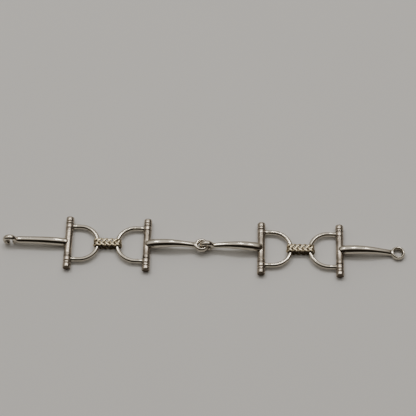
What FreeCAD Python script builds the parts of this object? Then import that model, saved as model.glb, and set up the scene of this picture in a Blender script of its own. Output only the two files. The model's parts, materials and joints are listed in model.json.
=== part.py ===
"""Bracelet made as a chain of four hinged snaffle cannons, four dee cheeks and two plaited links.

Lengths are millimetres and angles are degrees.  The bracelet lies along X on the plane Z = 0 with its
cheek bars along Y, and the origin is on that plane under the middle of its length.  Cheeks and cannons
are numbered from the hook end.  Each piece is drawn at its own origin and placed by expressions.
"""
import FreeCAD, Part
import math
import os
import Sketcher

DIMENSIONS = {
    # dee wire: depth is from the pin's axis to the middle of the wire at the apex
    "wire_dia": 2.2,
    "dee_radius": 9.0,
    "dee_depth": 14.5,
    "socket_start": 1.3,
    # cheek bar: a sleeve in the middle, then a ferrule and an end cap each way, all on one pin
    "bar_dia": 3.9,
    "pin_dia": 2.2,
    "pin_chamfer": 0.2,
    "ferrule_length": 2.7,
    "cap_dia": 4.0,
    "cap_length": 3.5,
    "cap_bore_depth": 2.4,
    "cap_round": 0.7,
    "groove": 0.15,
    "end_play": 0.15,
    "edge_round": 0.25,
    "running_gap": 0.06,
    "solder_film": 0.02,
    # cannons: reach is from the pin's axis to the middle of the eye
    "inner_reach": 26.6,
    "outer_reach": 28.4,
    "cannon_dia": 4.6,
    "neck_dia": 2.6,
    "arch": 1.7,
    "cannon_lift": 1.0,
    "hook_barrel_dia": 4.1,
    "hook_neck_dia": 3.3,
    "hook_arch": 0.7,
    "hook_lift": 0.5,
    "saddle_past": 0.5,
    # eyes and hook: play is how much wider a hole is than the rim that passes through it
    "rim_width": 1.95,
    "rim_depth": 2.7,
    "rim_play": 0.4,
    "rim_round_share": 0.36,
    "end_hole_dia": 3.9,
    "neck_sink": 1.0,
    "hook_gap": 2.1,
    "hook_angle": 247.5,
    # plaited links: pitch is between the two dee apexes that one link joins
    "link_pitch": 9.25,
    "strand_width": 1.45,
    "strand_thick": 0.95,
    "strand_gap": 0.04,
    "strand_round": 0.35,
    "loop_room": 0.3,
    "end_room": 0.15,
}

# along a cannon, from the pin's axis (0) to the neck's end (1): how much of its taper is done
TAPER_STATIONS = ((0.0, 0.1), (0.12, 0.0), (0.38, 0.16), (0.62, 0.5), (0.82, 0.85), (1.0, 1.0))
SADDLE_END_TAPER = 0.4
# a barrel's thickness at its saddle and at its neck, how far it bows up and how far above the pin it
# starts
BARREL = ("Dims.cannon_dia", "Dims.neck_dia", "Dims.arch", "Dims.cannon_lift")
HOOK_BARREL = ("Dims.hook_barrel_dia", "Dims.hook_neck_dia", "Dims.hook_arch", "Dims.hook_lift")
STRAND_NAMES = ("front", "middle", "back")

HOLE_DIA = "(Dims.rim_depth + Dims.rim_play)"
EYE_R = f"({HOLE_DIA} / 2 + Dims.rim_width)"
RIM_R = f"(({HOLE_DIA} + Dims.rim_width) / 2)"
END_RIM = f"({EYE_R} - Dims.end_hole_dia / 2)"
PIN_HEIGHT = "(Dims.cap_dia / 2)"
EYE_RISE = f"({EYE_R} - {PIN_HEIGHT})"
APEX_HEIGHT = "(Dims.strand_thick + Dims.wire_dia / 2 + Dims.loop_room)"
APEX_RISE = f"({APEX_HEIGHT} - {PIN_HEIGHT})"
DEE_TILT = f"asin({APEX_RISE} / Dims.dee_depth)"
DEE_RUN = f"(Dims.dee_depth * cos({DEE_TILT}))"
DEE_STUB = "(Dims.dee_depth - Dims.dee_radius)"
BAR_SPACING = f"(2 * {DEE_RUN} + Dims.link_pitch)"
SPAN = (f"(2 * {EYE_R} + 2 * Dims.outer_reach + 2 * {BAR_SPACING}"
        f" + 2 * Dims.inner_reach + {RIM_R})")

# X of each cheek's pin, of the middle joint and of each link's middle
BAR_X = [f"({EYE_R} + Dims.outer_reach - {SPAN} / 2)"]
BAR_X.append(f"({BAR_X[0]} + {BAR_SPACING})")
MIDDLE_X = f"({BAR_X[1]} + Dims.inner_reach + {RIM_R})"
BAR_X.append(f"({MIDDLE_X} + Dims.inner_reach)")
BAR_X.append(f"({BAR_X[2]} + {BAR_SPACING})")
LINK_X = {
    "a": f"({BAR_X[0]} + {BAR_SPACING} / 2)",
    "b": f"({BAR_X[2]} + {BAR_SPACING} / 2)",
}

FERRULE_INNER_Y = "(Dims.dee_radius - Dims.ferrule_length / 2)"
FERRULE_OUTER_Y = "(Dims.dee_radius + Dims.ferrule_length / 2)"
CAP_Y = f"({FERRULE_OUTER_Y} + Dims.groove)"

document = FreeCAD.newDocument("SnaffleBracelet")
sheet = document.addObject("Spreadsheet::Sheet", "Dims")
for row, (alias, value) in enumerate(DIMENSIONS.items(), start=1):
    sheet.set(f"A{row}", alias)
    sheet.set(f"B{row}", str(value))
    sheet.setAlias(f"B{row}", alias)
document.recompute()

pieces = []


def number(expression):
    """The present value of an expression on the sheet."""
    return float(sheet.evalExpression(expression))


def new_piece(label):
    """An empty body whose label is its node's name."""
    body = document.addObject("PartDesign::Body", label)
    body.Label = label
    pieces.append(body)
    return body


def place(piece, x="0", y="0", z="0", axis=(0, 0, 1), angle="0 deg"):
    """Bind a piece's placement: a turn about one axis through its origin, then a move."""
    piece.Placement = FreeCAD.Placement(
        FreeCAD.Vector(number(x), number(y), number(z)),
        FreeCAD.Rotation(FreeCAD.Vector(*axis), number(angle)))
    piece.setExpression("Placement.Base.x", x)
    piece.setExpression("Placement.Base.y", y)
    piece.setExpression("Placement.Base.z", z)
    piece.setExpression("Placement.Rotation.Angle", angle)


def new_sketch(body, plane, u="0", v="0", out="0", turn="0 deg"):
    """A sketch on one of the body's origin planes, its own origin moved by u, v and along the normal."""
    sketch = body.newObject("Sketcher::SketchObject", body.Label + "_sketch")
    for feature in body.Origin.OriginFeatures:
        if feature.Role == plane:
            sketch.AttachmentSupport = [(feature, "")]
    sketch.MapMode = "FlatFace"
    sketch.AttachmentOffset = FreeCAD.Placement(
        FreeCAD.Vector(number(u), number(v), number(out)),
        FreeCAD.Rotation(FreeCAD.Vector(0, 0, 1), number(turn)))
    sketch.setExpression("AttachmentOffset.Base.x", u)
    sketch.setExpression("AttachmentOffset.Base.y", v)
    sketch.setExpression("AttachmentOffset.Base.z", out)
    sketch.setExpression("AttachmentOffset.Rotation.Angle", turn)
    return sketch


def constrain(sketch, kind, *where, to=None):
    """Add a constraint, and bind its value where it has one."""
    if to is None:
        sketch.addConstraint(Sketcher.Constraint(kind, *where))
        return
    index = sketch.addConstraint(Sketcher.Constraint(kind, *where, number(to)))
    sketch.setExpression(f"Constraints[{index}]", to)


def add_circle(sketch, radius):
    """A circle about the sketch's origin."""
    circle = Part.Circle(FreeCAD.Vector(0, 0, 0), FreeCAD.Vector(0, 0, 1), number(radius))
    index = sketch.addGeometry(circle, False)
    constrain(sketch, "Coincident", index, 3, -1, 1)
    constrain(sketch, "Radius", index, to=radius)


def add_side_circle(sketch, radius, across):
    """A circle on the sketch's own horizontal axis, its middle at a distance across."""
    middle = FreeCAD.Vector(number(across), 0, 0)
    index = sketch.addGeometry(Part.Circle(middle, FreeCAD.Vector(0, 0, 1), number(radius)), False)
    constrain(sketch, "PointOnObject", index, 3, -1)
    constrain(sketch, "DistanceX", -1, 1, index, 3, to=across)
    constrain(sketch, "Radius", index, to=radius)


def add_outline(sketch, corners):
    """A closed outline of straight sides, each corner an expression pair from the sketch's origin."""
    points = [FreeCAD.Vector(number(u), number(v), 0) for u, v in corners]
    first = sketch.GeometryCount
    for start, end in zip(points, points[1:] + points[:1]):
        sketch.addGeometry(Part.LineSegment(start, end), False)
    for index, (u, v) in enumerate(corners):
        side = first + index
        constrain(sketch, "Coincident", side, 2, first + (index + 1) % len(corners), 1)
        constrain(sketch, "DistanceX", -1, 1, side, 1, to=u)
        constrain(sketch, "DistanceY", -1, 1, side, 1, to=v)


def add_stadium(sketch, middles, radius):
    """Two half circles, their middles apart along the horizontal axis, joined by straight sides."""
    c = number(middles) / 2
    r = number(radius)
    up = FreeCAD.Vector(0, 0, 1)
    top = sketch.addGeometry(Part.LineSegment(FreeCAD.Vector(-c, r, 0), FreeCAD.Vector(c, r, 0)), False)
    bottom = sketch.addGeometry(
        Part.LineSegment(FreeCAD.Vector(-c, -r, 0), FreeCAD.Vector(c, -r, 0)), False)
    quarter = math.pi / 2
    right = sketch.addGeometry(
        Part.ArcOfCircle(Part.Circle(FreeCAD.Vector(c, 0, 0), up, r), -quarter, quarter), False)
    left = sketch.addGeometry(
        Part.ArcOfCircle(Part.Circle(FreeCAD.Vector(-c, 0, 0), up, r), quarter, 3 * quarter), False)
    constrain(sketch, "Tangent", top, 1, left, 1)
    constrain(sketch, "Tangent", top, 2, right, 2)
    constrain(sketch, "Tangent", bottom, 1, left, 2)
    constrain(sketch, "Tangent", bottom, 2, right, 1)
    constrain(sketch, "Equal", left, right)
    constrain(sketch, "Symmetric", left, 3, right, 3, -1, 1)
    constrain(sketch, "PointOnObject", right, 3, -1)
    constrain(sketch, "Radius", right, to=radius)
    constrain(sketch, "DistanceX", left, 3, right, 3, to=middles)


def pad(body, sketch, length, both_ways=False):
    """Material along the sketch's normal."""
    feature = body.newObject("PartDesign::Pad", body.Label + "_pad")
    feature.Profile = sketch
    if both_ways:
        feature.SideType = "Symmetric"
    feature.setExpression("Length", length)
    document.recompute()
    return feature


def cut(body, sketch, both_ways=False, reverse=False):
    """Remove the sketch's shape right through the body; it must take something away."""
    before = body.Shape.Volume
    feature = body.newObject("PartDesign::Pocket", body.Label + "_cut")
    feature.Profile = sketch
    if both_ways:
        feature.SideType = "Symmetric"
    feature.Reversed = reverse
    feature.Type = "ThroughAll"
    document.recompute()
    if not body.Shape.Volume < before:
        raise RuntimeError(f"a cut in {body.Label} removes nothing")
    return feature


def revolve(body, sketch, angle="360", reverse=False):
    """Turn the sketch about its own vertical axis."""
    feature = body.newObject("PartDesign::Revolution", body.Label + "_turned")
    feature.Profile = sketch
    feature.ReferenceAxis = (sketch, ["V_Axis"])
    feature.Reversed = reverse
    feature.setExpression("Angle", angle)
    document.recompute()
    return feature


def round_edges(body, feature, radius, wanted):
    """Fillet the edges of a feature that pass a test."""
    names = [f"Edge{i}" for i, edge in enumerate(feature.Shape.Edges, start=1) if wanted(edge)]
    fillet = body.newObject("PartDesign::Fillet", body.Label + "_round")
    fillet.Base = (feature, names)
    fillet.setExpression("Radius", radius)
    document.recompute()
    return fillet


def lies_at_y(edge, *levels):
    """Whether an edge lies in one of the planes Y = level."""
    box = edge.BoundBox
    return any(abs(box.YMin - y) < 1e-4 and abs(box.YMax - y) < 1e-4 for y in levels)


def make_pin(label):
    """The rivet-like pin through one cheek bar, its ends chamfered inside the caps."""
    body = new_piece(label)
    sketch = new_sketch(body, "XZ_Plane")
    add_circle(sketch, "Dims.pin_dia / 2")
    shaft = pad(body, sketch, f"2 * ({CAP_Y} + Dims.cap_bore_depth - Dims.solder_film)", both_ways=True)
    chamfer = body.newObject("PartDesign::Chamfer", label + "_chamfer")
    ends = [f"Edge{i}" for i, edge in enumerate(shaft.Shape.Edges, start=1)
            if isinstance(edge.Curve, Part.Circle)]
    chamfer.Base = (shaft, ends)
    chamfer.setExpression("Size", "Dims.pin_chamfer")
    return body


def make_sleeve(label):
    """The middle tube of a cheek bar, soldered to its cannon and free to turn on the pin."""
    body = new_piece(label)
    sketch = new_sketch(body, "XZ_Plane")
    add_circle(sketch, "Dims.bar_dia / 2")
    add_circle(sketch, "Dims.pin_dia / 2 + Dims.running_gap")
    length = f"2 * ({FERRULE_INNER_Y} - Dims.end_play)"
    tube = pad(body, sketch, length, both_ways=True)
    half = number(length) / 2
    bore = number("Dims.pin_dia / 2 + Dims.running_gap")
    round_edges(body, tube, "Dims.edge_round",
                lambda edge: lies_at_y(edge, half, -half) and edge.BoundBox.ZMax > bore * 1.01)
    return body


def make_ferrule(label):
    """A collar fixed on the pin, with the socket that the dee wire's end is soldered into."""
    body = new_piece(label)
    sketch = new_sketch(body, "XZ_Plane")
    add_circle(sketch, "Dims.bar_dia / 2")
    add_circle(sketch, "Dims.pin_dia / 2")
    collar = pad(body, sketch, "Dims.ferrule_length", both_ways=True)
    half = number("Dims.ferrule_length") / 2
    bore = number("Dims.pin_dia / 2")
    round_edges(body, collar, "Dims.edge_round",
                lambda edge: lies_at_y(edge, half, -half) and edge.BoundBox.ZMax > bore * 1.01)
    socket = new_sketch(body, "YZ_Plane")
    add_circle(socket, "Dims.wire_dia / 2 + Dims.solder_film")
    cut(body, socket, reverse=True)
    return body


def make_cap(label):
    """The knob on one end of the pin: its inner face is at Y = 0 and its domed end at +Y."""
    body = new_piece(label)
    sketch = new_sketch(body, "XY_Plane")
    pin_r = "(Dims.pin_dia / 2)"
    cap_r = "(Dims.cap_dia / 2)"
    add_outline(sketch, [(pin_r, "0"), (cap_r, "0"), (cap_r, "Dims.cap_length"),
                         ("0", "Dims.cap_length"), ("0", "Dims.cap_bore_depth"),
                         (pin_r, "Dims.cap_bore_depth")])
    knob = revolve(body, sketch)
    length = number("Dims.cap_length")
    domed = round_edges(body, knob, "Dims.cap_round", lambda edge: lies_at_y(edge, length))
    bore = number(pin_r)
    round_edges(body, domed, "Dims.edge_round",
                lambda edge: lies_at_y(edge, 0) and edge.BoundBox.ZMax > bore * 1.01)
    return body


def make_dee_wire(label):
    """Round wire bent to a half circle with two straight legs that end in the ferrules' sockets."""
    body = new_piece(label)
    bend = new_sketch(body, "YZ_Plane", out=DEE_STUB)
    add_side_circle(bend, "Dims.wire_dia / 2", "Dims.dee_radius")
    revolve(body, bend, angle="180", reverse=True)
    legs = new_sketch(body, "YZ_Plane", out="Dims.socket_start")
    add_side_circle(legs, "Dims.wire_dia / 2", "Dims.dee_radius")
    add_side_circle(legs, "Dims.wire_dia / 2", "-Dims.dee_radius")
    pad(body, legs, f"{DEE_STUB} - Dims.socket_start")
    return body


def rim_round(rim):
    """The rounding of a rim's edges, as an expression."""
    return f"(Dims.rim_round_share * min(Dims.rim_depth; {rim}))"


def make_eye(body, reach, upright, hole, rim):
    """A round-edged ring about the end of a cannon, upright or lying flat."""
    if upright:
        sketch = new_sketch(body, "XY_Plane", u=reach, out=EYE_RISE)
    else:
        sketch = new_sketch(body, "XZ_Plane", u=reach, v=EYE_RISE)
    bottom = "-Dims.rim_depth / 2"
    top = "Dims.rim_depth / 2"
    inside = f"{hole} / 2"
    outside = f"({hole} / 2 + {rim})"
    add_outline(sketch, [(inside, bottom), (outside, bottom), (outside, top), (inside, top)])
    ring = revolve(body, sketch)
    round_edges(body, ring, rim_round(rim), lambda edge: edge.isClosed())


def make_barrel(body, reach, thick, thin, arch, lift):
    """The cannon's arched barrel, lofted through upright circles from the pin's axis to its neck."""
    neck_x = f"({reach} - {EYE_R} + Dims.neck_sink)"
    fall = f"({thick} - {thin})"
    end_drop = f"(4 * {arch} * Dims.saddle_past / {neck_x})"
    stations = [("-Dims.saddle_past", f"({lift} - {end_drop})",
                 f"({thick} - {SADDLE_END_TAPER} * {fall})")]
    for share, taper in TAPER_STATIONS:
        chord = f"{lift} + {share} * ({EYE_RISE} - {lift})"
        stations.append((f"({share} * {neck_x})",
                         f"({chord} + 4 * {share} * (1 - {share}) * {arch})",
                         f"({thick} - {taper} * {fall})"))
    sections = []
    for x, z, diameter in stations:
        section = new_sketch(body, "YZ_Plane", v=z, out=x)
        add_circle(section, f"{diameter} / 2")
        sections.append(section)
    document.recompute()
    barrel = body.newObject("PartDesign::AdditiveLoft", body.Label + "_barrel")
    barrel.Profile = sections[0]
    barrel.Sections = sections[1:]
    document.recompute()


def make_cannon(label, reach, upright, hole=HOLE_DIA, rim="Dims.rim_width", hooked=False):
    """Half a mouthpiece: a barrel that ends in an eye, drawn from the pin's axis along +X.

    The thick end is notched to sit on the sleeve.  A hooked eye is cut open beside the neck, on its
    underside.
    """
    body = new_piece(label)
    make_eye(body, reach, upright, hole, rim)
    make_barrel(body, reach, *(HOOK_BARREL if hooked else BARREL))
    saddle = new_sketch(body, "XZ_Plane")
    add_circle(saddle, "Dims.bar_dia / 2 + Dims.solder_film")
    cut(body, saddle, both_ways=True)
    if hooked:
        slot = new_sketch(body, "XZ_Plane", u=reach, v=EYE_RISE, turn="Dims.hook_angle * 1 deg")
        half_gap = "Dims.hook_gap / 2"
        past = f"(2 * {EYE_R})"
        add_outline(slot, [("0", f"-{half_gap}"), (past, f"-{half_gap}"),
                           (past, half_gap), ("0", half_gap)])
        cut(body, slot, both_ways=True)
    return body


def make_strand(label):
    """One strand of a plaited link: a closed stadium-shaped loop in the XZ plane."""
    body = new_piece(label)
    sketch = new_sketch(body, "XZ_Plane")
    middles = "(Dims.link_pitch + 2 * Dims.end_room)"
    inner = "(Dims.wire_dia / 2 + Dims.loop_room)"
    add_stadium(sketch, middles, inner)
    add_stadium(sketch, middles, f"({inner} + Dims.strand_thick)")
    loop = pad(body, sketch, "Dims.strand_width", both_ways=True)
    half = number("Dims.strand_width") / 2
    round_edges(body, loop, "Dims.strand_round", lambda edge: lies_at_y(edge, half, -half))
    return body


def make_cheek(index, points_left):
    """Everything fixed on one pin, and the cannon's sleeve that turns on it."""
    x = BAR_X[index]
    name = str(index + 1)
    turn = f"180 deg + {DEE_TILT}" if points_left else f"-{DEE_TILT}"
    place(make_pin("pin_" + name), x, z=PIN_HEIGHT)
    place(make_sleeve("sleeve_" + name), x, z=PIN_HEIGHT)
    place(make_dee_wire("dee_wire_" + name), x, z=PIN_HEIGHT, axis=(0, 1, 0), angle=turn)
    for side, sign in (("front", "-"), ("back", "")):
        ferrule = make_ferrule(f"{side}_ferrule_{name}")
        place(ferrule, x, f"{sign}Dims.dee_radius", PIN_HEIGHT, axis=(0, 1, 0), angle=turn)
        cap = make_cap(f"{side}_cap_{name}")
        place(cap, x, f"{sign}{CAP_Y}", PIN_HEIGHT, angle="180 deg" if sign else "0 deg")


make_cheek(0, points_left=False)
make_cheek(1, points_left=True)
make_cheek(2, points_left=False)
make_cheek(3, points_left=True)

# the free end's flat eye is let down until it rests on the plane
FREE_END_DROP = (f"atan(({EYE_R} - Dims.rim_depth / 2)"
                 f" / (Dims.outer_reach + {EYE_R} - {rim_round(END_RIM)}))")
place(make_cannon("cannon_1_hook", "Dims.outer_reach", upright=True, hooked=True),
      BAR_X[0], z=PIN_HEIGHT, angle="180 deg")
place(make_cannon("cannon_2", "Dims.inner_reach", upright=False), BAR_X[1], z=PIN_HEIGHT)
place(make_cannon("cannon_3", "Dims.inner_reach", upright=True), BAR_X[2], z=PIN_HEIGHT, angle="180 deg")
place(make_cannon("cannon_4_eye", "Dims.outer_reach", upright=False, hole="Dims.end_hole_dia",
                  rim=END_RIM),
      BAR_X[3], z=PIN_HEIGHT, axis=(0, 1, 0), angle=FREE_END_DROP)

for link, x in LINK_X.items():
    for offset, strand in zip((-1, 0, 1), STRAND_NAMES):
        place(make_strand(f"link_{link}_{strand}_strand"), x,
              f"{offset} * (Dims.strand_width + Dims.strand_gap)", APEX_HEIGHT)

document.recompute()
for item in document.Objects:
    if "Invalid" in item.State or "Error" in item.State:
        raise RuntimeError(f"{item.Name} did not recompute: {item.State}")
for piece in pieces:
    if piece.Shape.isNull() or not piece.Shape.isValid() or len(piece.Shape.Solids) != 1:
        raise RuntimeError(f"{piece.Label} is not one valid solid")

os.makedirs("parts", exist_ok=True)
for piece in pieces:
    piece.Shape.exportStep(f"parts/{piece.Label}.step")
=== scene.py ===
"""Looks of a bracelet made as a chain of small snaffle bits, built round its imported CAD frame.

Lengths are metres.  The bracelet lies along X on the plane Z = 0 with its cheek bars along Y, and its
cheeks and cannons are numbered from the hook end, as the CAD nodes are.
"""
import json
import math

import bpy
from bpy.props import FloatProperty, FloatVectorProperty, IntProperty, PointerProperty
from mathutils import Matrix, Vector


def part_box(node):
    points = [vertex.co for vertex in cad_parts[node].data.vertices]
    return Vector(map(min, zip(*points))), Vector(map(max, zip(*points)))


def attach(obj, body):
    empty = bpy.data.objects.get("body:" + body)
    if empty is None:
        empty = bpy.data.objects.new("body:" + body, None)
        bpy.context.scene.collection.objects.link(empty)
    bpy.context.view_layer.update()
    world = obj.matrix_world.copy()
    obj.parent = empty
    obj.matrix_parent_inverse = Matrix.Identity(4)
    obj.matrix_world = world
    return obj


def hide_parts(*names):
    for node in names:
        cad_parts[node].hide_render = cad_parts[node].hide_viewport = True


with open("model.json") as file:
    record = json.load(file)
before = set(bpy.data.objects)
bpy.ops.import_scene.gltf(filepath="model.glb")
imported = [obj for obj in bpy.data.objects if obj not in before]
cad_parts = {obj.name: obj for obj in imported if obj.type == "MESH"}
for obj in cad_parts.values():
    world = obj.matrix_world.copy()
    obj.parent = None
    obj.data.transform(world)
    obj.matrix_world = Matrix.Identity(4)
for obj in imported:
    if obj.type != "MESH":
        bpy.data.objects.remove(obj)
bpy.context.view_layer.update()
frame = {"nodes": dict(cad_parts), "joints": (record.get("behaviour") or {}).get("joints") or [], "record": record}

bl_info = {
    "name": "Snaffle-bit Bracelet",
    "version": (1, 0, 0),
    "blender": (4, 5, 0),
    "location": "3D Viewport > Sidebar > Bracelet",
    "description": "Builds the visible pieces and the stage of a chain bracelet of small snaffle bits",
    "category": "Object",
}

MM = 0.001
JOINT = {joint["name"]: Vector(joint["pos_m"]) for joint in frame["joints"]}
MOUNT = {mount["name"]: mount for mount in frame["record"]["mounts"]}
CHEEKS = (1, 2, 3, 4)
SIDES = {"front": -1, "back": 1}
STRANDS = ("front", "middle", "back")

# pin axis, dee apex and the middle joint, all in the plane Y = 0
PIN = {k: JOINT[f"cheek_{k}_pin_joint"] for k in CHEEKS}
APEX = {k: JOINT[f"dee_{k}_link_joint"] for k in CHEEKS}
MIDDLE = JOINT["middle_eye_joint"]
END_EYE = Vector(MOUNT["end_eye"]["pos_m"])
END_AXIS = Vector(MOUNT["end_eye"]["axis"])
HOOK_EYE = Vector(MOUNT["hook_eye"]["pos_m"])

# a smooth surface shrinks inside its cage: how much, for rings of 8 and of 16 corners
SHRINK_8 = (4 + 2 * math.cos(2 * math.pi / 8)) / 6
SHRINK_16 = (4 + 2 * math.cos(2 * math.pi / 16)) / 6

SOLDER_FILM = 0.02 * MM  # left between a cannon's saddle and its bar
RUNNING_GAP = 0.06 * MM  # between a pin and the sleeve that turns on it
GROOVE_SHADE_DEPTH = 0.2 * MM  # how deep a groove's painted shade goes from none to full
GROOVE_BRIGHT = 0.35  # share of that depth that stays bright

LATHE_SIDES = 96
FINE_BEVEL = 0.05 * MM
BEVEL_ANGLE = 35  # degrees: sharper edges than this are eased

SENSOR_WIDTH = 36.0  # millimetres
CLIP_START = 0.01
FLOOR_SIDE = 6.0


def length(label, text, default):
    """A size that the user can change."""
    return FloatProperty(name=label, description=text, default=default, unit="LENGTH", subtype="DISTANCE",
                         precision=5, min=0.0)


def colour(label, text, default):
    """A colour that the user can change."""
    return FloatVectorProperty(name=label, description=text, default=default, subtype="COLOR", size=3,
                               min=0.0, max=1.0)


class CannonSizes(bpy.types.PropertyGroup):
    """The four mouthpiece halves."""
    barrel: length("Barrel", "Thickest diameter of a cannon", 4.6 * MM)
    neck: length("Neck", "Diameter where a cannon meets its eye", 2.6 * MM)
    arch: length("Arch", "How far the barrel bows up", 1.7 * MM)
    hook_barrel: length("Hook barrel", "Thickness of the hook's barrel at its saddle", 4.1 * MM)
    hook_neck: length("Hook neck", "Thickness of the hook's barrel at its neck", 3.3 * MM)
    hook_arch: length("Hook arch", "How far the hook's flatter barrel bows up", 0.7 * MM)
    hook_lift: length("Hook lift", "How far the hook's barrel starts above the pin", 0.5 * MM)
    lift: length("Lift", "How far the barrel's axis starts above the pin", 1.0 * MM)
    eye_radius: length("Eye radius", "Outer radius of an eye", 3.5 * MM)
    hole: length("Eye hole", "Hole of the three smaller eyes", 3.1 * MM)
    end_hole: length("End hole", "Hole of the free end's eye", 3.9 * MM)
    depth: length("Eye depth", "Thickness of an eye along its axis", 2.7 * MM)


class CheekSizes(bpy.types.PropertyGroup):
    """The cheek bars and dee wires."""
    bar: length("Bar", "Diameter of a cheek bar", 3.9 * MM)
    waist: length("Waist", "How much thinner a sleeve is between its ends", 0.34 * MM)
    wire: length("Dee wire", "Diameter of the dee wire", 2.2 * MM)
    flare: length("Flare", "How much the wire thickens where it is soldered in", 0.16 * MM)
    dee_radius: length("Dee radius", "Radius of the dee's round end", 9.0 * MM)
    groove: length("Groove", "Depth of the turned grooves", 0.24 * MM)


class PlaitSizes(bpy.types.PropertyGroup):
    """The plaited links."""
    strand: length("Strand", "Width of a strand", 1.3 * MM)
    thickness: length("Thickness", "Thickness of a strand", 0.62 * MM)
    sway: length("Sway", "How far a strand swings to each side", 1.54 * MM)
    weave: length("Weave", "How far a strand rises and dips", 0.24 * MM)
    turns: IntProperty(name="Turns", description="Swings of a strand round the loop", default=4, min=1)


class FinishColours(bpy.types.PropertyGroup):
    """Metals and what dulls them."""
    silver: colour("Silver", "Polished silver", (0.62, 0.57, 0.485))
    turned: colour("Turned silver", "Silver of the bars", (0.50, 0.44, 0.37))
    gilt: colour("Gilt", "Gilding on the plaited links", (0.64, 0.55, 0.39))
    # the brown of the random tarnish film, and of the painted shade in grooves, holes, seams and recesses
    tarnish: colour("Tarnish", "Brown film in grooves", (0.10, 0.075, 0.05))


class StageSettings(bpy.types.PropertyGroup):
    """Floor, light and camera."""
    floor: colour("Floor", "Matt card that the bracelet lies on", (0.78, 0.77, 0.75))
    key: FloatProperty(name="Lamps", description="Power of the lamps together in watts", default=3.4,
                       min=0.0)
    room: FloatProperty(name="Room", description="Brightness of the room", default=1.15, min=0.0)
    elevation: FloatProperty(name="Elevation", description="Camera's height over the horizon",
                             default=math.radians(60), unit="ROTATION", subtype="ANGLE")
    roll: FloatProperty(name="Roll", description="Turn of the camera about its line of sight",
                        default=math.radians(1.75), unit="ROTATION", subtype="ANGLE")
    distance: length("Distance", "From the camera to where it looks", 0.7187)
    aim_x: length("Aim along X", "Where the camera looks, along the bracelet", 1.33 * MM)
    aim_y: length("Aim along Y", "Where the camera looks, behind the bracelet", 23.1 * MM)
    lens: FloatProperty(name="Lens", description="Focal length", default=125.3, unit="CAMERA")


class BraceletSettings(bpy.types.PropertyGroup):
    """Everything the operators read."""
    cannon: PointerProperty(type=CannonSizes, name="Cannons", description="Sizes of the cannons")
    cheek: PointerProperty(type=CheekSizes, name="Cheeks", description="Sizes of the bars and dees")
    plait: PointerProperty(type=PlaitSizes, name="Plaits", description="Sizes of the plaited links")
    finish: PointerProperty(type=FinishColours, name="Finishes", description="Colours of the metals")
    stage: PointerProperty(type=StageSettings, name="Stage", description="Floor, light and camera")


# ---------------------------------------------------------------- shaping

def clear_selection():
    """Leave nothing selected."""
    bpy.ops.object.select_all(action="DESELECT")


def set_place():
    """Move the active piece's place into its mesh, so that its object sits at the origin."""
    bpy.ops.object.transform_apply(location=True, rotation=True, scale=True)


def edit(select="SELECT"):
    """Go into edit mode with all or nothing selected."""
    bpy.ops.object.mode_set(mode="EDIT")
    bpy.ops.mesh.select_all(action=select)


def leave_edit():
    """Back to object mode."""
    bpy.ops.object.mode_set(mode="OBJECT")


def activate(piece):
    """Select one piece alone and make it the active one."""
    clear_selection()
    piece.select_set(True)
    bpy.context.view_layer.objects.active = piece


def pick(piece, wanted):
    """In edit mode, select exactly the vertices that pass a test."""
    bpy.ops.object.mode_set(mode="OBJECT")
    for vertex in piece.data.vertices:
        vertex.select = wanted(vertex.co)
    for edge in piece.data.edges:
        edge.select = all(piece.data.vertices[i].select for i in edge.vertices)
    for face in piece.data.polygons:
        face.select = all(piece.data.vertices[i].select for i in face.vertices)
    bpy.ops.object.mode_set(mode="EDIT")


def add_ring(name, centre, radius, rotation, sides):
    """Start a piece with an open ring of vertices, and go into edit mode with it selected."""
    clear_selection()
    bpy.ops.mesh.primitive_circle_add(vertices=sides, radius=radius, fill_type="NOTHING",
                                      location=centre, rotation=rotation)
    piece = bpy.context.object
    piece.name = piece.data.name = name
    set_place()
    edit()
    return piece


def draw_out(centre, radius, new_centre, new_radius):
    """Extrude the selected ring to a new centre and size."""
    bpy.ops.mesh.extrude_region_move(TRANSFORM_OT_translate={"value": new_centre - centre})
    ratio = new_radius / radius
    bpy.ops.transform.resize(value=(ratio, ratio, ratio), center_override=new_centre)


def draw_stations(stations):
    """Extrude the selected ring through a list of (centre, radius), the first being where it is."""
    for (centre, radius), (new_centre, new_radius) in zip(stations, stations[1:]):
        draw_out(centre, radius, new_centre, new_radius)


def draw_solid(stations):
    """Close the selected ring with a face and extrude it through a list of (centre, radius)."""
    bpy.ops.mesh.edge_face_add()
    draw_stations(stations)


def outward():
    """Merge doubles and turn every face outwards."""
    edit()
    bpy.ops.mesh.remove_doubles(threshold=0.002 * MM)
    bpy.ops.mesh.normals_make_consistent(inside=False)
    leave_edit()


def finish_modifier(piece, kind, **settings):
    """Add a modifier to the active piece and apply it."""
    bpy.ops.object.modifier_add(type=kind)
    modifier = piece.modifiers[-1]
    for key, value in settings.items():
        setattr(modifier, key, value)
    bpy.ops.object.modifier_apply(modifier=modifier.name)


def smooth(piece, angle=40):
    """Shade smooth, apart from edges sharper than an angle."""
    activate(piece)
    bpy.ops.object.shade_smooth_by_angle(angle=math.radians(angle))


def join(parts):
    """Make one mesh of several; the first keeps its name."""
    clear_selection()
    for part in parts:
        part.select_set(True)
    bpy.context.view_layer.objects.active = parts[0]
    bpy.ops.object.join()
    return parts[0]


def write_painted_shade(piece, amount):
    """Store on each vertex how much painted shade, as brown colour and more roughness, the metal gets there, from
    0 to 1.
    """
    layer = piece.data.attributes.new("tarnish", "FLOAT", "POINT")
    for vertex, value in zip(piece.data.vertices, layer.data):
        value.value = min(1.0, max(0.0, amount(vertex.co)))


def settle(piece, body, slot, material, *nodes):
    """Give a finished piece its metal, its body and the CAD nodes that it stands for."""
    piece.data.materials.clear()
    piece.data.materials.append(finishes(material))
    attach(piece, body)
    if nodes:
        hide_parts(*nodes)


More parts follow.
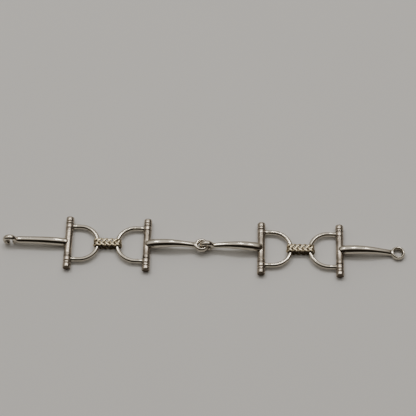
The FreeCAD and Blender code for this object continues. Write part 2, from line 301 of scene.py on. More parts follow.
def turned(name, x, z, profile, through=False):
    """A lathe piece about an axis along Y: profile is a list of (y, radius)."""
    stations = [(Vector((x, y, z)), radius) for y, radius in profile]
    piece = add_ring(name, stations[0][0], stations[0][1], (math.pi / 2, 0, 0), LATHE_SIDES)
    if through:
        draw_stations(stations)
        bpy.ops.mesh.select_all(action="DESELECT")
        bpy.ops.mesh.select_non_manifold(extend=False)
        bpy.ops.mesh.bridge_edge_loops()
    else:
        draw_solid(stations)
    leave_edit()
    outward()
    finish_modifier(piece, "BEVEL", width=FINE_BEVEL, segments=3, limit_method="ANGLE",
                    angle_limit=math.radians(BEVEL_ANGLE))
    smooth(piece)
    return piece


# ---------------------------------------------------------------- finishes

class Signal:
    """A number's socket in a shader, with arithmetic."""

    def __init__(self, tree, socket):
        self.tree = tree
        self.socket = socket

    def _math(self, operation, a, b):
        made = self.tree.node("ShaderNodeMath", {"operation": operation}, {0: a, 1: b})
        return Signal(self.tree, made.outputs[0])

    def __add__(self, other):
        return self._math("ADD", self, other)

    __radd__ = __add__

    def __mul__(self, other):
        return self._math("MULTIPLY", self, other)

    __rmul__ = __mul__

    def clamp(self):
        """Kept between 0 and 1."""
        return self._math("MINIMUM", self._math("MAXIMUM", self, 0.0), 1.0)

    def ramp(self, low, high):
        """0 below low, 1 above high, smooth between."""
        made = self.tree.node("ShaderNodeMapRange", {"interpolation_type": "SMOOTHSTEP"},
                              {"Value": self.socket, "From Min": low, "From Max": high})
        return Signal(self.tree, made.outputs[0])


class Tree:
    """A node tree and the few nodes that both metals and the room use."""

    def __init__(self, tree):
        self.nodes = tree.nodes
        self.links = tree.links

    def node(self, kind, settings, sockets):
        """Add a node: settings first, then each socket's value or link."""
        made = self.nodes.new(kind)
        for key, value in settings.items():
            setattr(made, key, value)
        for key, value in sockets.items():
            self.join(value, made.inputs[key])
        return made

    def join(self, value, socket):
        """Link a signal or a socket to a socket, or set its value."""
        if isinstance(value, Signal):
            value = value.socket
        if isinstance(value, bpy.types.NodeSocket):
            self.links.new(value, socket)
        else:
            socket.default_value = value

    def mix(self, amount, first, second):
        """A colour between two colours."""
        made = self.node("ShaderNodeMix", {"data_type": "RGBA"},
                         {0: amount, 6: as_rgba(first), 7: as_rgba(second)})
        return made.outputs[2]


class Shader(Tree):
    """One material's nodes."""

    def __init__(self, name):
        self.material = bpy.data.materials.new(name)
        self.material.use_nodes = True
        super().__init__(self.material.node_tree)
        self.surface = self.nodes["Principled BSDF"]
        self.place = self.node("ShaderNodeTexCoord", {}, {}).outputs["Object"]

    def attribute(self, name):
        """A number stored on the mesh."""
        made = self.node("ShaderNodeAttribute", {"attribute_name": name}, {})
        return Signal(self, made.outputs["Fac"])

    def noise(self, scale, detail, stretch=(1, 1, 1)):
        """Cloudy noise from 0 to 1 in the piece's own coordinates; scale is per metre."""
        place = self.node("ShaderNodeMapping", {}, {"Vector": self.place, "Scale": stretch})
        made = self.node("ShaderNodeTexNoise", {}, {"Vector": place.outputs[0], "Scale": scale,
                                                    "Detail": detail, "Roughness": 0.5})
        return Signal(self, made.outputs[0])

    def bump(self, height):
        """A normal from a height in metres."""
        made = self.node("ShaderNodeBump", {}, {"Height": height, "Distance": 1.0, "Strength": 1.0})
        return made.outputs[0]

    def feed(self, **sockets):
        """Link or set the surface's sockets, named with _ for a space."""
        for key, value in sockets.items():
            self.join(value, self.surface.inputs[key.replace("_", " ")])
        return self.material


def as_rgba(value):
    """A colour for a socket; links pass through."""
    if isinstance(value, bpy.types.NodeSocket):
        return value
    return (*value[:3], 1.0)


def dark(value, share):
    """A colour darkened to a share of itself."""
    return tuple(part * share for part in value)


# per metre: how fine each pattern in a metal is
FILM_SCALE = 420
SPOT_SCALE = 2600
SHADE_SCALE = 260
WAVE_SCALE = 230
GLOSS_SCALE = 900
SCRATCH_SCALES = (1500, 1700)
SCRATCH_STRETCHES = ((0.35, 4.0, 4.0), (4.0, 0.35, 4.0))

# where each pattern starts and ends being seen, on its noise's scale from 0 to 1
FILM_STOPS = (0.42, 0.75)
SPOT_STOPS = (0.60, 0.78)
SHADE_STOPS = (0.35, 0.7)

CREVICE_SHARE = 0.92  # how dark the painted shade in the deepest crevice is
SPOT_SHARE = 0.6  # of the film, for spots
SHADED = 0.93  # how bright the metal's darker patches are
# how much each pattern adds to the roughness
GLOSS_ROUGH, SCRATCH_ROUGH, FILM_SHADE_ROUGH = 0.08, 0.05, 0.32

# each metal: its colour among the finishes, how much darker than that it is, height of its waves and
# depth of its scratches in metres, its roughness, and how much film lies on it
METALS = {
    "cast_silver": ("silver", 1.0, 0.035 * MM, 0.0012 * MM, 0.05, 0.10),
    "bent_silver": ("silver", 1.0, 0.025 * MM, 0.0012 * MM, 0.06, 0.12),
    "lathe_silver": ("turned", 1.0, 0.02 * MM, 0.002 * MM, 0.16, 0.22),
    "gilt_strand": ("gilt", 1.0, 0.01 * MM, 0.002 * MM, 0.14, 0.20),
    "pin_silver": ("turned", 0.8, 0.0, 0.006 * MM, 0.25, 0.35),
}


def make_metal(name):
    """Hand-polished metal: wavy gloss, fine scratches, a brown tarnish film in random patches, and painted shade
    of the same brown in its grooves, holes, seams and recesses.
    """
    colours = bpy.context.scene.bracelet.finish
    tint_name, share, wave_height, scratch_depth, rough, film_share = METALS[name]
    tint = dark(getattr(colours, tint_name), share)
    shader = Shader(name)
    film = shader.noise(FILM_SCALE, 4).ramp(*FILM_STOPS)
    spots = shader.noise(SPOT_SCALE, 2).ramp(*SPOT_STOPS)
    # painted shade: the mesh's attribute turns grooves, holes, seams and recesses brown and rougher; the film and
    # spots below are random tarnish
    crevice_shade = shader.attribute("tarnish")
    film_and_shade = (crevice_shade * CREVICE_SHARE + film * film_share + spots * film_share * SPOT_SHARE).clamp()
    shade = shader.noise(SHADE_SCALE, 2).ramp(*SHADE_STOPS)
    metal = shader.mix(shade, dark(tint, SHADED), tint)
    base = shader.mix(film_and_shade, metal, tuple(colours.tarnish))
    along, across = (shader.noise(scale, 3, stretch)
                     for scale, stretch in zip(SCRATCH_SCALES, SCRATCH_STRETCHES))
    lines = along * 0.5 + across * 0.5
    height = shader.noise(WAVE_SCALE, 1) * wave_height + lines * scratch_depth
    gloss = shader.noise(GLOSS_SCALE, 4) * GLOSS_ROUGH
    roughness = (gloss + lines * SCRATCH_ROUGH + film_and_shade * FILM_SHADE_ROUGH + rough).clamp()
    return shader.feed(Base_Color=base, Metallic=1.0, Roughness=roughness, Normal=shader.bump(height))


# per metre: how fine the card's mottling and its grain are
CLOUD_SCALE = 14
GRAIN_SCALE = 2200
CARD_DARK, CARD_LIGHT = 0.975, 1.025  # shares of the card's colour that it varies between
CARD_ROUGH = 0.75
GRAIN_HEIGHT = 0.01 * MM


def make_card(name):
    """Matt pale grey card with the faintest mottling."""
    floor = tuple(bpy.context.scene.bracelet.stage.floor)
    shader = Shader(name)
    cloud = shader.noise(CLOUD_SCALE, 3)
    grain = shader.noise(GRAIN_SCALE, 3)
    base = shader.mix(cloud * 0.7 + grain * 0.3, dark(floor, CARD_DARK), dark(floor, CARD_LIGHT))
    return shader.feed(Base_Color=base, Roughness=CARD_ROUGH, Metallic=0.0,
                       Normal=shader.bump(grain * GRAIN_HEIGHT))


def finishes(name):
    """A material by name, made once."""
    made = bpy.data.materials.get(name)
    if made is None:
        made = make_metal(name) if name in METALS else make_card(name)
    return made


# ---------------------------------------------------------------- pieces

# along a cannon, as a share of the way from the pin's axis to the neck's end: how much of its taper is done
TAPER = ((0.12, 0.0), (0.38, 0.16), (0.62, 0.5), (0.82, 0.85), (1.0, 1.0))
NECK_GAP = 0.05 * MM  # between a neck's last ring and its eye
NECK_FLARE = 1.15  # makes up for what smoothing takes off a neck where it meets its eye
# the saddle's rounded end: millimetres along, millimetres down from the lift, and share of the thickness
SADDLE = ((-1.15, 0.75, 0.30), (-0.75, 0.45, 0.62), (0.0, 0.16, 0.90))
BARREL_SIDES = 8
BARREL_LEVELS = 3
NECK_PATCH = 0.45 * MM  # how far from an eye's nearest corner its cage is opened for the barrel
MOUTH_ANGLE = 247.5  # of the hook's mouth, from the way its cannon points, upwards
MOUTH_REACH = 2.0  # degrees each side of it
NOTCH_SIDES = 128
NOTCH_LENGTH = 12 * MM
SEAM_SHADE_REACH = 0.45 * MM  # how far from the bar the painted shade beside the solder reaches
BORE_SHADE_REACH = 0.5 * MM  # how far from a hole's edge the painted shade in it fades
SEAM_SHADE, BORE_SHADE = 0.9, 0.75  # how dark the painted shade is at the solder and at a hole's edge

# each cannon: the CAD node it stands for, whether its eye is upright, and the size of its hole
CANNONS = {
    1: ("cannon_1_hook", True, "hole"),
    2: ("cannon_2", False, "hole"),
    3: ("cannon_3", True, "hole"),
    4: ("cannon_4_eye", False, "end_hole"),
}


def cannon_axes(k):
    """Where a cannon's eye is, and the cannon's own along and up directions."""
    if k == 4:
        up = END_AXIS.normalized()
        return END_EYE, Vector((up.z, 0, -up.x)), up
    up = Vector((0, 0, 1))
    if k == 1:
        return HOOK_EYE, Vector((-1, 0, 0)), up
    sizes = bpy.context.scene.bracelet.cannon
    rim_middle = (sizes.eye_radius + sizes.hole / 2) / 2
    if k == 2:
        return MIDDLE - Vector((rim_middle, 0, 0)), Vector((1, 0, 0)), up
    return MIDDLE.copy(), Vector((-1, 0, 0)), up


def make_eye_cage(name, centre, along, up, upright, hole):
    """A ring cage of 16 by 8 corners with an opening that faces the barrel."""
    sizes = bpy.context.scene.bracelet.cannon
    rim = (sizes.eye_radius - hole / 2) / 2
    major = (sizes.eye_radius - rim) / SHRINK_16
    minor = rim / (SHRINK_8 * SHRINK_16)
    across = Vector((0, 1, 0))
    axis = across if upright else up
    third = axis.cross(along)
    turn = Matrix((along, third, axis)).transposed().to_euler()
    clear_selection()
    bpy.ops.mesh.primitive_torus_add(major_radius=major, minor_radius=minor, major_segments=16,
                                     minor_segments=8)
    eye = bpy.context.object
    eye.name = eye.data.name = name
    edit()
    deepen = sizes.depth / 2 / SHRINK_8 / minor
    bpy.ops.transform.resize(value=(1, 1, deepen), center_override=(0, 0, 0))
    leave_edit()
    eye.rotation_euler = turn
    eye.location = centre
    set_place()
    return eye


def open_eye(eye, centre, along):
    """Take away the patch of faces where the barrel joins."""
    sizes = bpy.context.scene.bracelet.cannon
    pole = centre - along * (sizes.eye_radius / SHRINK_16)
    pick(eye, lambda co: (co - pole).length < NECK_PATCH)
    bpy.ops.mesh.delete(type="VERT")
    leave_edit()


def cut_mouth(eye, centre, along, up):
    """Open a hook's mouth on the underside of its cage."""
    def in_mouth(co):
        flat = co - centre
        angle = math.degrees(math.atan2(flat.dot(up), flat.dot(along))) % 360
        return abs(angle - MOUTH_ANGLE) < MOUTH_REACH
    edit("DESELECT")
    bpy.ops.mesh.select_mode(type="VERT")
    pick(eye, in_mouth)
    bpy.ops.mesh.delete(type="VERT")
    leave_edit()


def make_barrel_cage(name, k, centre, along, up):
    """An eight-sided cage of the arched barrel, from its rounded saddle end to its open neck."""
    sizes = bpy.context.scene.bracelet.cannon
    pin = PIN[k]
    reach = (centre - pin).dot(along)
    rise = (centre - pin).dot(up)
    neck_at = reach - sizes.eye_radius - NECK_GAP
    if k == 1:
        thick, thin, arch, lift = sizes.hook_barrel, sizes.hook_neck, sizes.hook_arch, sizes.hook_lift
    else:
        thick, thin, arch, lift = sizes.barrel, sizes.neck, sizes.arch, sizes.lift
    stations = []
    for x, drop, share in SADDLE:
        stations.append((pin + along * (x * MM) + up * (lift - drop * MM), thick * share / 2))
    for share, taper in TAPER:
        z = lift + share * (rise - lift) + 4 * share * (1 - share) * arch
        stations.append((pin + along * (share * neck_at) + up * z, (thick - taper * (thick - thin)) / 2))
    stations = [(place, radius / SHRINK_8) for place, radius in stations]
    stations[-1] = (stations[-1][0], stations[-1][1] * NECK_FLARE)
    turn = along.to_track_quat("Z", "Y").to_euler()
    piece = add_ring(name, stations[0][0], stations[0][1], turn, BARREL_SIDES)
    draw_solid(stations)
    bpy.ops.mesh.delete(type="ONLY_FACE")
    leave_edit()
    return piece


def keep_far_side(piece, centre, along, reach):
    """Of the selected edges, keep those on the barrel's side of the eye, a reach from its middle."""
    leave_edit()
    for edge in piece.data.edges:
        middle = sum((piece.data.vertices[i].co for i in edge.vertices), Vector()) / 2
        if (middle - centre).dot(along) > -reach:
            edge.select = False
    bpy.ops.object.mode_set(mode="EDIT")


def bridge_neck(piece, k, centre, along):
    """Join the barrel's open neck to its eye, and close a hook's two tips."""
    edit("DESELECT")
    bpy.ops.mesh.select_mode(type="EDGE")
    bpy.ops.mesh.select_non_manifold(extend=False)
    if k == 1:
        keep_far_side(piece, centre, along, bpy.context.scene.bracelet.cannon.eye_radius * 0.7)
    bpy.ops.mesh.bridge_edge_loops()
    if k == 1:
        bpy.ops.mesh.select_all(action="DESELECT")
        bpy.ops.mesh.select_non_manifold(extend=False)
        bpy.ops.mesh.edge_face_add()
    bpy.ops.mesh.select_mode(type="VERT")
    leave_edit()
    outward()


def notch(piece, pin, radius):
    """Cut a round saddle for the bar out of a piece."""
    clear_selection()
    bpy.ops.mesh.primitive_cylinder_add(vertices=NOTCH_SIDES, radius=radius, depth=NOTCH_LENGTH,
                                        location=pin, rotation=(math.pi / 2, 0, 0))
    cutter = bpy.context.object
    set_place()
    activate(piece)
    finish_modifier(piece, "BOOLEAN", operation="DIFFERENCE", solver="EXACT", object=cutter)
    bpy.data.objects.remove(cutter, do_unlink=True)


def make_cannon(k):
    """One mouthpiece half: eye and barrel in one skin, notched to sit on its sleeve."""
    sizes = bpy.context.scene.bracelet.cannon
    bar = bpy.context.scene.bracelet.cheek.bar / 2
    pin = PIN[k]
    node, upright, hole_name = CANNONS[k]
    hole = getattr(sizes, hole_name)
    centre, along, up = cannon_axes(k)
    eye = make_eye_cage(f"eye_cage_{k}", centre, along, up, upright, hole)
    open_eye(eye, centre, along)
    if k == 1:
        cut_mouth(eye, centre, along, up)
    barrel = make_barrel_cage(f"cannon_{k}_cast", k, centre, along, up)
    piece = join([barrel, eye])
    bridge_neck(piece, k, centre, along)
    finish_modifier(piece, "SUBSURF", levels=BARREL_LEVELS)
    notch(piece, pin, bar + SOLDER_FILM)
    smooth(piece, 45)

    # painted shade: brown, rougher metal beside the solder at the bar and inside the eye's hole
    def amount(co):
        from_bar = math.hypot(co.x - pin.x, co.z - pin.z) - bar
        seam = 1 - from_bar / SEAM_SHADE_REACH
        bore = BORE_SHADE - ((co - centre).length - hole / 2) / BORE_SHADE_REACH
        return max(seam * SEAM_SHADE, bore)
    write_painted_shade(piece, amount)
    settle(piece, f"cannon_{k}", "polished_silver", "cast_silver", node)


def groove_painted_shade(k, full):
    """A function that gives how deep below the bar's surface a point lies, as painted shade for the grooves."""
    pin = PIN[k]

    # painted shade: the deeper a point lies in a groove, the browner and rougher it is made
    def amount(co):
        below = full - math.hypot(co.x - pin.x, co.z - pin.z)
        return below / GROOVE_SHADE_DEPTH - GROOVE_BRIGHT
    return amount


# a sleeve's side, from its middle outwards: millimetres along, which radius, and millimetres off that radius
SLEEVE_SIDE = ((0.0, "full", -0.02), (1.6, "full", -0.02), (3.2, "thin", 0.03), (4.6, "thin", 0.0),
               (5.6, "thin", 0.04), (5.9, "full", -0.04), (6.15, "full", 0.0), (6.3, "full", 0.0),
               (6.36, "ring", 0.0), (6.46, "ring", 0.0), (6.52, "full", 0.0), (6.95, "full", 0.0),
               (7.01, "ring", 0.0), (7.11, "ring", 0.0), (7.17, "full", 0.0))
# the outsides of a ferrule and of a cap: share of the length, which radius, and millimetres off it
FERRULE_SIDE = ((0.0, "ring", 0.0), (0.10, "ring", 0.0), (0.14, "full", 0.0), (0.86, "full", 0.0),
                (0.90, "ring", 0.0), (1.0, "ring", 0.0))
CAP_SIDE = ((0.0, "full", -0.06), (0.22, "full", -0.06), (0.26, "ring", 0.0), (0.34, "ring", 0.0),
            (0.38, "full", -0.03), (0.50, "full", 0.0), (0.83, "full", 0.0), (0.90, "full", -0.07),
            (0.96, "full", -0.24), (1.0, "full", -0.62))
HOOK_WAIST = 0.25  # share of the waist that the hook's sleeve has
CAP_EASE = 0.05 * MM  # how far under its full size a cap's grooves start to get painted shade


def lathe_side(side, scale, **radii):
    """A side as (y, radius) in metres: its first numbers times a scale, its radii by name."""
    return [(y * scale, radii[radius] + more * MM) for y, radius, more in side]


def make_sleeve(k):
    """The waisted tube that carries a cannon, with fine turned rings near its ends."""
    sizes = bpy.context.scene.bracelet.cheek
    pin = PIN[k]
    full = sizes.bar / 2
    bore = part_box(f"pin_{k}")[1].z - pin.z + RUNNING_GAP
    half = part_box(f"sleeve_{k}")[1].y
    thin = full - (HOOK_WAIST if k == 1 else 1.0) * sizes.waist / 2
    side = lathe_side(SLEEVE_SIDE, MM, full=full, thin=thin, ring=full - sizes.groove * 0.7)
    mirrored = [(-y, radius) for y, radius in reversed(side[1:])]
    profile = [(-half, bore), (-half, full), *mirrored, *side, (half, full), (half, bore)]
    piece = turned(f"sleeve_{k}_turned", pin.x, pin.z, profile, through=True)
    write_painted_shade(piece, groove_painted_shade(k, full))
    settle(piece, f"cannon_{k}", "turned_silver", "lathe_silver", f"sleeve_{k}")


def make_ferrule(k, side):
    """A plain collar with a step cut round each end, where painted shade is put."""
    sizes = bpy.context.scene.bracelet.cheek
    node = f"{side}_ferrule_{k}"
    low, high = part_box(node)
    pin = PIN[k]
    full = sizes.bar / 2
    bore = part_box(f"pin_{k}")[1].z - pin.z
    side_cuts = lathe_side(FERRULE_SIDE, high.y - low.y, full=full, ring=full - sizes.groove)
    outside = [(low.y + y, radius) for y, radius in side_cuts]
    profile = [(low.y, bore), *outside, (high.y, bore)]
    piece = turned(f"{node}_turned", pin.x, pin.z, profile, through=True)
    write_painted_shade(piece, groove_painted_shade(k, full))
    settle(piece, f"dee_{k}", "turned_silver", "lathe_silver", node)


def make_cap(k, side):
    """A knob with a ring near its inner edge, a swell, and a soft domed end."""
    sizes = bpy.context.scene.bracelet.cheek
    node = f"{side}_cap_{k}"
    low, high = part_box(node)
    pin = PIN[k]
    sign = SIDES[side]
    inner = low.y if sign > 0 else high.y
    depth = high.y - low.y
    full = (high.z - low.z) / 2
    pin_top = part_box(f"pin_{k}")[1]
    bore = pin_top.z - pin.z
    bottom = inner + sign * (pin_top.y - abs(inner))
    outside = [(inner + sign * y, radius)
               for y, radius in lathe_side(CAP_SIDE, depth, full=full, ring=full - sizes.groove)]
    profile = [(bottom, bore * 0.3), (bottom, bore), (inner, bore), *outside]
    piece = turned(f"{node}_turned", pin.x, pin.z, profile)
    close_ends(piece)
    write_painted_shade(piece, groove_painted_shade(k, full - CAP_EASE))
    settle(piece, f"dee_{k}", "turned_silver", "lathe_silver", node)


def close_ends(piece):
    """Fill whatever rings are still open."""
    edit("DESELECT")
    bpy.ops.mesh.select_mode(type="EDGE")
    bpy.ops.mesh.select_non_manifold(extend=False)
    bpy.ops.mesh.fill_holes(sides=0)
    bpy.ops.mesh.select_mode(type="VERT")
    leave_edit()
    outward()
    smooth(piece)


WIRE_SIDES = 32
WIRE_BEND_STEPS = 64
# along a dee's leg, from the pin's axis: where it leaves the ferrule, its flare's ends, and its full wire
LEG_START, FLARE_START, FLARE_END, LEG_CLEAN = (run * MM for run in (1.3, 1.9, 2.2, 2.65))
FERRULE_SHADE_REACH = (1.8 * MM, 0.5 * MM)  # where the painted shade beside the ferrule ends, and how slowly
LINK_SHADE_REACH = (1.6 * MM, 1.2 * MM)  # the same for the painted shade under the link, from the dee's apex
FERRULE_SHADE, LINK_SHADE = 0.7, 0.55  # how dark the painted shade on the wire is at those two places


def make_dee_wire(k):
    """Round wire bent to a dee, thickened a little where it is soldered into the ferrules."""
    sizes = bpy.context.scene.bracelet.cheek
    pin = PIN[k]
    toward = APEX[k] - pin
    depth = toward.length
    toward.normalize()
    across = Vector((0, 1, 0))
    axis = across.cross(toward)
    radius = sizes.wire / 2
    leg = depth - sizes.dee_radius

    def at(run, y):
        return pin + toward * run + across * y
    steps = [(LEG_START, radius), (FLARE_START, radius + sizes.flare), (FLARE_END, radius + sizes.flare),
             (LEG_CLEAN, radius), (leg, radius)]
    front = [(at(run, -sizes.dee_radius), r) for run, r in steps]
    back = [(at(run, sizes.dee_radius), r) for run, r in reversed(steps)]
    turn = toward.to_track_quat("Z", "Y").to_euler()
    piece = add_ring(f"dee_wire_{k}_bent", front[0][0], front[0][1], turn, WIRE_SIDES)
    draw_stations(front)
    bpy.ops.mesh.spin(steps=WIRE_BEND_STEPS, angle=math.pi, center=at(leg, 0), axis=axis)
    draw_stations(back)
    leave_edit()
    close_ends(piece)

    # painted shade: brown, rougher wire where it goes into the ferrules and where it passes under the link
    def amount(co):
        at_ferrule = 1 - ((co - pin).dot(toward) - FERRULE_SHADE_REACH[0]) / FERRULE_SHADE_REACH[1]
        at_link = LINK_SHADE - ((co - APEX[k]).length - LINK_SHADE_REACH[0]) / LINK_SHADE_REACH[1]
        return max(at_ferrule * FERRULE_SHADE, at_link)
    write_painted_shade(piece, amount)
    settle(piece, f"dee_{k}", "silver_wire", "bent_silver", f"dee_wire_{k}")


STRAND_HEIGHT = 0.95 * MM  # of a plait over its middle line, both sides together
STRAND_MARGIN = 0.09 * MM  # that a plait stays inside its box
STRAND_STEPS = 168
STRAND_SIDES = 12
STRAND_LOOK = 0.001  # share of the loop each way that a strand's direction is taken over
STRAND_SHADE_REACH = 0.42 * MM  # how slowly a strand's painted shade fades outwards
STRAND_SHADE = 0.55  # how dark the painted shade on a strand is on its middle line


def plait_loop(link):
    """A link's middle, and the half length and end radius of its strands' middle line."""
    low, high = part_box(f"link_{link}_middle_strand")
    outer = (high.z - low.z) / 2
    half = (high.x - low.x) / 2 - outer
    return (low + high) / 2, half, outer - STRAND_HEIGHT / 2 - STRAND_MARGIN


def plait_path(link, phase):
    """The middle line of one strand: a function of the turn round the loop, from 0 to 1."""
    sizes = bpy.context.scene.bracelet.plait
    middle, half, radius = plait_loop(link)
    around = 2 * math.pi * radius
    whole = 4 * half + around

    def at(share):
        angle = 2 * math.pi * (sizes.turns * share + phase)
        rise = sizes.weave * math.sin(2 * angle)
        run = (share % 1.0) * whole
        if run < 2 * half:
            out = Vector((0, 0, 1))
            base = Vector((-half + run, 0, radius))
        elif run < 2 * half + around / 2:
            bend = (run - 2 * half) / radius
            out = Vector((math.sin(bend), 0, math.cos(bend)))
            base = Vector((half, 0, 0)) + out * radius
        elif run < 4 * half + around / 2:
            out = Vector((0, 0, -1))
            base = Vector((half - (run - 2 * half - around / 2), 0, -radius))
        else:
            bend = math.pi + (run - 4 * half - around / 2) / radius
            out = Vector((math.sin(bend), 0, math.cos(bend)))
            base = Vector((-half, 0, 0)) + out * radius
        return middle + base + out * rise + Vector((0, sizes.sway * math.sin(angle), 0)), out
    return at


def make_strand(link, index):
    """One flattened strand, plaited over and under the other two round the whole loop."""
    sizes = bpy.context.scene.bracelet.plait
    node = f"link_{link}_{STRANDS[index]}_strand"
    at = plait_path(link, index / len(STRANDS))
    piece = None
    for step in range(STRAND_STEPS):
        share = step / STRAND_STEPS
        place, out = at(share)
        ahead = (at(share + STRAND_LOOK)[0] - at(share - STRAND_LOOK)[0]).normalized()
        side = out.cross(ahead).normalized()
        turn = Matrix((side, ahead.cross(side), ahead)).transposed()
        if piece is None:
            piece = add_ring(f"{node}_plaited", place, sizes.thickness / 2, turn.to_euler(), STRAND_SIDES)
        else:
            bpy.ops.mesh.primitive_circle_add(vertices=STRAND_SIDES, radius=sizes.thickness / 2,
                                              location=place, fill_type="NOTHING",
                                              rotation=turn.to_euler())
        bpy.ops.transform.resize(value=(sizes.strand / sizes.thickness, 1, 1), orient_type="GLOBAL",
                                 orient_matrix=turn, orient_matrix_type="GLOBAL", center_override=place)
    bpy.ops.mesh.select_all(action="SELECT")
    bpy.ops.mesh.bridge_edge_loops(type="CLOSED")
    leave_edit()
    outward()
    finish_modifier(piece, "SUBSURF", levels=1)
    smooth(piece, 60)
    middle, half, radius = plait_loop(link)

    # painted shade: brown, rougher strands on the loop's middle line and inside it, in the plait's recesses
    def amount(co):
        beyond = max(0.0, abs(co.x - middle.x) - half)
        out = math.hypot(beyond, co.z - middle.z) - radius
        return STRAND_SHADE - out / STRAND_SHADE_REACH
    write_painted_shade(piece, amount)
    settle(piece, f"link_{link}", "gilt_plait", "gilt_strand", node)


class Piece:
    """What the piece operators share."""
    bl_options = {"REGISTER", "UNDO"}


class BRACELET_OT_cannons(Piece, bpy.types.Operator):
    """Model the four cannons with their eyes and hook"""
    bl_idname = "bracelet.cannons"
    bl_label = "Cannons"

    def execute(self, context):
        for k in CHEEKS:
            make_cannon(k)
        return {"FINISHED"}


class BRACELET_OT_sleeves(Piece, bpy.types.Operator):
    """Turn the sleeves that the cannons are soldered to"""
    bl_idname = "bracelet.sleeves"
    bl_label = "Sleeves"

    def execute(self, context):
        for k in CHEEKS:
            make_sleeve(k)
        return {"FINISHED"}


class BRACELET_OT_ferrules(Piece, bpy.types.Operator):
    """Turn the ferrules that hold the dee wires"""
    bl_idname = "bracelet.ferrules"
    bl_label = "Ferrules"

    def execute(self, context):
        for k in CHEEKS:
            for side in SIDES:
                make_ferrule(k, side)
        return {"FINISHED"}


class BRACELET_OT_caps(Piece, bpy.types.Operator):
    """Turn the end caps of the cheek bars"""
    bl_idname = "bracelet.caps"
    bl_label = "Caps"

    def execute(self, context):
        for k in CHEEKS:
            for side in SIDES:
                make_cap(k, side)
        return {"FINISHED"}


class BRACELET_OT_dee_wires(Piece, bpy.types.Operator):
    """Bend the dee wires"""
    bl_idname = "bracelet.dee_wires"
    bl_label = "Dee wires"

    def execute(self, context):
        for k in CHEEKS:
            make_dee_wire(k)
        return {"FINISHED"}


class BRACELET_OT_plaits(Piece, bpy.types.Operator):
    """Plait the strands of the two links"""
    bl_idname = "bracelet.plaits"
    bl_label = "Plaited links"

    def execute(self, context):
        for link in "ab":
            for index in range(len(STRANDS)):
                make_strand(link, index)
        return {"FINISHED"}


class BRACELET_OT_pins(Piece, bpy.types.Operator):
    """Give the pins inside the bars their finish"""
    bl_idname = "bracelet.pins"
    bl_label = "Pins"

    def execute(self, context):
        for k in CHEEKS:
            pin = frame["nodes"][f"pin_{k}"]
            for slot in pin.material_slots:
                slot.material = finishes("pin_silver")
        return {"FINISHED"}


# name, place, side and share of the power of each lamp
LAMPS = (
    ("lamp_left", (-0.40, 0.44, 1.00), 0.15, 0.42),
    ("lamp_behind", (0.06, 0.50, 1.04), 0.12, 0.34),
    ("lamp_right", (0.38, 0.36, 1.05), 0.12, 0.24),
)
LAMP_TINT = (1.0, 0.985, 0.96)

# colours of the room's parts
CEILING_LOW, CEILING_HIGH = (0.50, 0.475, 0.43), (0.86, 0.83, 0.78)
HORIZON = (0.06, 0.05, 0.04)
FRONT = (0.016, 0.013, 0.010)
RIGHT = (0.035, 0.028, 0.022)
# where each part gives way to the next, along X, Y and Z of the direction looked in
FRONT_EDGE = (-0.42, 0.05)
RIGHT_EDGE = (0.35, 0.85)
CEILING_EDGE = (0.45, 0.85)
HORIZON_EDGE = (0.05, 0.40)


def add_light(name, place, side, power):
    """A soft square light that faces the bracelet's middle."""
    data = bpy.data.lights.new(name, "AREA")
    data.shape = "RECTANGLE"
    data.size = data.size_y = side
    data.energy = power
    data.color = LAMP_TINT
    lamp = bpy.data.objects.new(name, data)
    bpy.context.scene.collection.objects.link(lamp)
    lamp.location = place
    lamp.rotation_euler = Vector(place).to_track_quat("Z", "Y").to_euler()


def light_room(settings):
    """A grey-beige room, black in front and dark along the horizon and at the right, with soft lamps."""
    world = bpy.data.worlds.new("dim_room")
    bpy.context.scene.world = world
    world.use_nodes = True
    sky = Tree(world.node_tree)
    look = sky.node("ShaderNodeTexCoord", {}, {}).outputs["Generated"]
    split = sky.node("ShaderNodeSeparateXYZ", {}, {"Vector": look})
    across, ahead, height = (Signal(sky, split.outputs[axis]) for axis in "XYZ")
    behind = ahead.ramp(*FRONT_EDGE)
    right = across.ramp(*RIGHT_EDGE)
    ceiling = sky.mix(height.ramp(*CEILING_EDGE), CEILING_LOW, CEILING_HIGH)
    room = sky.mix(height.ramp(*HORIZON_EDGE), HORIZON, ceiling)
    faced = sky.mix(behind, FRONT, room)
    sided = sky.mix(right, faced, RIGHT)
    background = sky.nodes["Background"]
    sky.links.new(sided, background.inputs["Color"])
    background.inputs["Strength"].default_value = settings.room
    for name, place, side, share in LAMPS:
        add_light(name, place, side, settings.key * share)


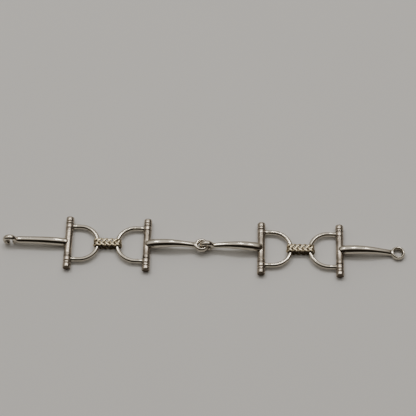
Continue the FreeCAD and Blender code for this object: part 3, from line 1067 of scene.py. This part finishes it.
class BRACELET_OT_stage(Piece, bpy.types.Operator):
    """Lay the floor and set up the light and the camera"""
    bl_idname = "bracelet.stage"
    bl_label = "Stage"

    def execute(self, context):
        settings = context.scene.bracelet.stage
        clear_selection()
        bpy.ops.mesh.primitive_plane_add(size=FLOOR_SIDE, location=(0, 0, 0))
        floor = bpy.context.object
        floor.name = floor.data.name = "card_floor"
        floor.data.materials.append(finishes("matt_card"))
        light_room(settings)
        data = bpy.data.cameras.new("camera")
        camera = bpy.data.objects.new("camera", data)
        context.scene.collection.objects.link(camera)
        data.lens = settings.lens
        data.sensor_width = SENSOR_WIDTH
        data.clip_start = CLIP_START
        target = Vector((settings.aim_x, settings.aim_y, 0))
        back = Vector((0, -math.cos(settings.elevation), math.sin(settings.elevation)))
        camera.location = target + back * settings.distance
        aim = back.to_track_quat("Z", "Y").to_matrix()
        roll = Matrix.Rotation(settings.roll, 3, "Z")
        camera.rotation_euler = (aim @ roll).to_euler()
        context.scene.camera = camera
        return {"FINISHED"}


class BRACELET_PT_panel(bpy.types.Panel):
    """The bracelet's operators and sizes"""
    bl_label = "Bracelet"
    bl_idname = "BRACELET_PT_panel"
    bl_space_type = "VIEW_3D"
    bl_region_type = "UI"
    bl_category = "Bracelet"

    def draw(self, context):
        for operator in OPERATORS:
            self.layout.operator(operator.bl_idname)
        for group in BraceletSettings.__annotations__:
            settings = getattr(context.scene.bracelet, group)
            box = self.layout.box()
            for key in type(settings).__annotations__:
                box.prop(settings, key)


OPERATORS = (BRACELET_OT_cannons, BRACELET_OT_sleeves, BRACELET_OT_ferrules, BRACELET_OT_caps,
             BRACELET_OT_dee_wires, BRACELET_OT_plaits, BRACELET_OT_pins, BRACELET_OT_stage)
CLASSES = (CannonSizes, CheekSizes, PlaitSizes, FinishColours, StageSettings, BraceletSettings,
           *OPERATORS, BRACELET_PT_panel)


def register():
    """Make the operators, sizes and panel known to Blender."""
    for kind in CLASSES:
        bpy.utils.register_class(kind)
    bpy.types.Scene.bracelet = PointerProperty(type=BraceletSettings)


def unregister():
    """Take them away again."""
    del bpy.types.Scene.bracelet
    for kind in reversed(CLASSES):
        bpy.utils.unregister_class(kind)


def main():
    """Build everything in order."""
    register()
    bpy.ops.bracelet.stage()
    bpy.ops.bracelet.cannons()
    bpy.ops.bracelet.sleeves()
    bpy.ops.bracelet.ferrules()
    bpy.ops.bracelet.caps()
    bpy.ops.bracelet.dee_wires()
    bpy.ops.bracelet.plaits()
    bpy.ops.bracelet.pins()


if __name__ == "__main__":
    main()
